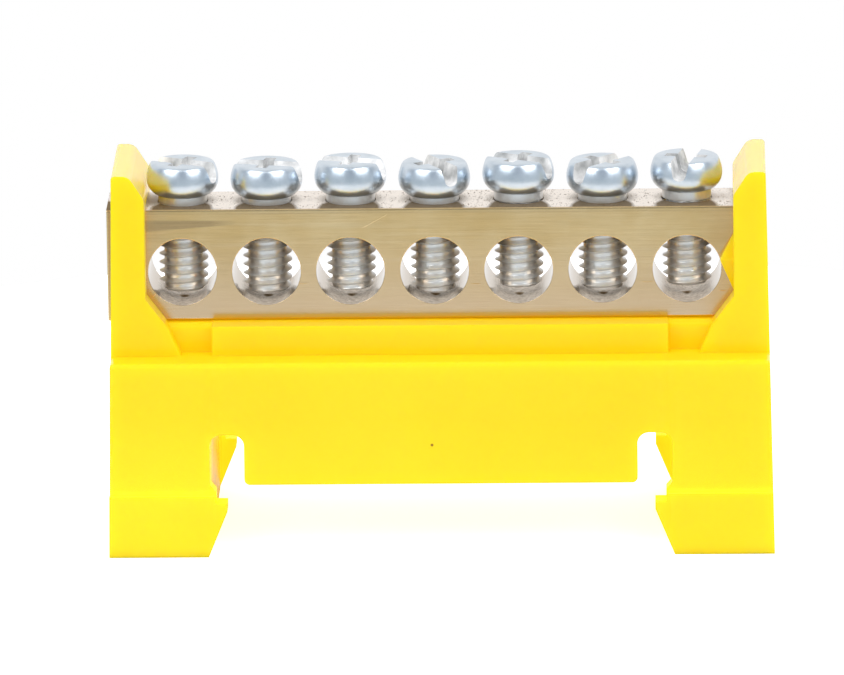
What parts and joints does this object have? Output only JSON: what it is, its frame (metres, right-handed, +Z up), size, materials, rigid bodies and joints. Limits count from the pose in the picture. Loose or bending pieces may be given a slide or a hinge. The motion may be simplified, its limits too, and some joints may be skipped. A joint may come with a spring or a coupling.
{
  "type": "earth terminal bar",
  "caption": "Brass earth terminal bar with clamp screws over its wire holes, carried by a yellow moulded clip for a 35 mm rail.",
  "frame": {"origin": "middle of the footprint, on the plane of the feet", "axes": "+X along the brass bar, wires enter from -Y, +Z up from the feet to the screw heads"},
  "size_m": [0.0522, 0.0214, 0.0303],
  "materials": {
    "yellow_moulding": "glossy moulded",
    "drawn_brass": "satin, drawn along the bar",
    "zinc_steel": "bright zinc plating"
  },
  "bodies": {
    "terminal": {"carrier": "yellow_moulding", "brass_bar": "drawn_brass"},
    "screw_1": {"clamp_screw_1": "zinc_steel"},
    "screw_2": {"clamp_screw_2": "zinc_steel"},
    "screw_3": {"clamp_screw_3": "zinc_steel"},
    "screw_4": {"clamp_screw_4": "zinc_steel"},
    "screw_5": {"clamp_screw_5": "zinc_steel"},
    "screw_6": {"clamp_screw_6": "zinc_steel"},
    "screw_7": {"clamp_screw_7": "zinc_steel"}
  },
  "joints": [
    {"name": "screw_1_travel", "type": "slide", "parent": "terminal", "child": "screw_1", "axis": [0, 0, 1], "range_m": [-0.0002, 0.005]},
    {"name": "screw_2_travel", "type": "slide", "parent": "terminal", "child": "screw_2", "axis": [0, 0, 1], "range_m": [-0.00005, 0.005]},
    {"name": "screw_3_travel", "type": "slide", "parent": "terminal", "child": "screw_3", "axis": [0, 0, 1], "range_m": [-0.00025, 0.005]},
    {"name": "screw_4_travel", "type": "slide", "parent": "terminal", "child": "screw_4", "axis": [0, 0, 1], "range_m": [-0.00005, 0.005]},
    {"name": "screw_5_travel", "type": "slide", "parent": "terminal", "child": "screw_5", "axis": [0, 0, 1], "range_m": [-0.00035, 0.005]},
    {"name": "screw_6_travel", "type": "slide", "parent": "terminal", "child": "screw_6", "axis": [0, 0, 1], "range_m": [-0.0001, 0.005]},
    {"name": "screw_7_travel", "type": "slide", "parent": "terminal", "child": "screw_7", "axis": [0, 0, 1], "range_m": [-0.0004, 0.005]}
  ]
}
